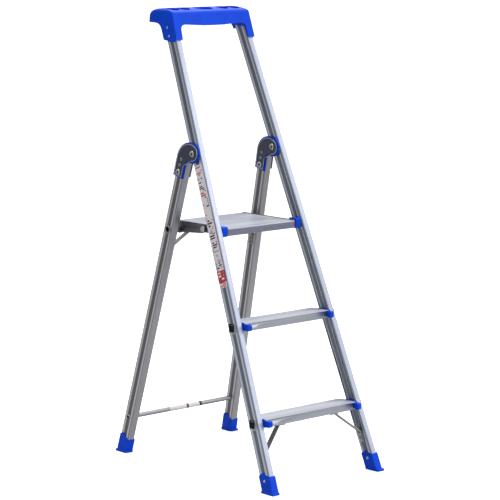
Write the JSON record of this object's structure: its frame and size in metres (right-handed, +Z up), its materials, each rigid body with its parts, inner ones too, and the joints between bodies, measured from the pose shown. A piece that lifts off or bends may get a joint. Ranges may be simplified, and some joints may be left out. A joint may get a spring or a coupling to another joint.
{
  "type": "step stool",
  "caption": "Folding platform step stool with flat treads, a wide top platform, tall leaning side rails and a moulded tool tray across the top.",
  "frame": {"origin": "on the floor at the middle of the open stool's footprint", "axes": "+Z up, -Y the side that the user climbs, +X to the right as the user faces the stool"},
  "size_m": [0.3984, 0.634, 1.186],
  "materials": {
    "rail_aluminium": "satin anodised extrusion, long fine die lines",
    "leg_aluminium": "matte mill-finish extrusion and flat bar",
    "tread_aluminium": "satin extrusion with fine anti-slip ribs on top",
    "blue_plastic": "moulded, finely textured, semi-matte",
    "hinge_steel": "dark grey pressed plate",
    "bright_steel": "zinc plated",
    "brace_steel": "dull galvanised strip",
    "label_film": "printed plastic film, slightly glossy"
  },
  "bodies": {
    "front_frame": {"left_front_rail": "rail_aluminium", "right_front_rail": "rail_aluminium", "left_front_foot": "blue_plastic", "right_front_foot": "blue_plastic", "left_foot_rivet": "bright_steel", "right_foot_rivet": "bright_steel", "lower_tread": "tread_aluminium", "middle_tread": "tread_aluminium", "lower_tread_left_cap": "blue_plastic", "lower_tread_right_cap": "blue_plastic", "middle_tread_left_cap": "blue_plastic", "middle_tread_right_cap": "blue_plastic", "left_tread_brace": "brace_steel", "right_tread_brace": "brace_steel", "left_brace_rivet_1": "bright_steel", "left_brace_rivet_2": "bright_steel", "right_brace_rivet_1": "bright_steel", "right_brace_rivet_2": "bright_steel", "tool_tray": "blue_plastic", "left_tray_screw_1": "bright_steel", "left_tray_screw_2": "bright_steel", "right_tray_screw_1": "bright_steel", "right_tray_screw_2": "bright_steel", "left_hinge_rivet": "bright_steel", "right_hinge_rivet": "bright_steel", "left_platform_block": "blue_plastic", "right_platform_block": "blue_plastic", "left_platform_pin": "bright_steel", "right_platform_pin": "bright_steel", "rail_label": "label_film"},
    "rear_frame": {"left_rear_leg": "leg_aluminium", "right_rear_leg": "leg_aluminium", "left_rear_foot": "blue_plastic", "right_rear_foot": "blue_plastic", "lower_rear_bar": "tread_aluminium", "bar_label": "label_film", "upper_rear_bar": "tread_aluminium", "left_rear_brace": "brace_steel", "right_rear_brace": "brace_steel", "left_hinge_body": "blue_plastic", "right_hinge_body": "blue_plastic", "left_hinge_cover": "hinge_steel", "left_hinge_backing": "leg_aluminium", "right_hinge_cover": "hinge_steel", "right_hinge_backing": "leg_aluminium", "left_leg_rivet": "bright_steel", "right_leg_rivet": "bright_steel", "left_spacer_sleeve": "hinge_steel", "right_spacer_sleeve": "hinge_steel"},
    "platform": {"platform_deck": "tread_aluminium", "left_platform_side": "leg_aluminium", "right_platform_side": "leg_aluminium"},
    "left_link": {"left_side_link": "leg_aluminium", "left_link_rivet": "bright_steel"},
    "right_link": {"right_side_link": "leg_aluminium", "right_link_rivet": "bright_steel"}
  },
  "joints": [
    {"name": "rear_frame_fold", "type": "hinge", "parent": "front_frame", "child": "rear_frame", "pos_m": [0, 0.04179, 0.82], "axis": [-1, 0, 0], "range_deg": [0, 35.5]},
    {"name": "platform_swing", "type": "hinge", "parent": "front_frame", "child": "platform", "pos_m": [0, -0.04313, 0.6225], "axis": [1, 0, 0], "range_deg": [0, 64.2]},
    {"name": "left_link_swing", "type": "hinge", "parent": "rear_frame", "child": "left_link", "pos_m": [0, 0.13353, 0.61656], "axis": [-1, 0, 0], "range_deg": [0, 46.9]},
    {"name": "right_link_swing", "type": "hinge", "parent": "rear_frame", "child": "right_link", "pos_m": [0, 0.13353, 0.61656], "axis": [-1, 0, 0], "range_deg": [0, 46.9]}
  ],
  "couplings": [
    {"joint": "platform_swing", "follows": "rear_frame_fold", "ratio": 1.8052},
    {"joint": "left_link_swing", "follows": "rear_frame_fold", "ratio": 1.3201},
    {"joint": "right_link_swing", "follows": "rear_frame_fold", "ratio": 1.3201}
  ]
}
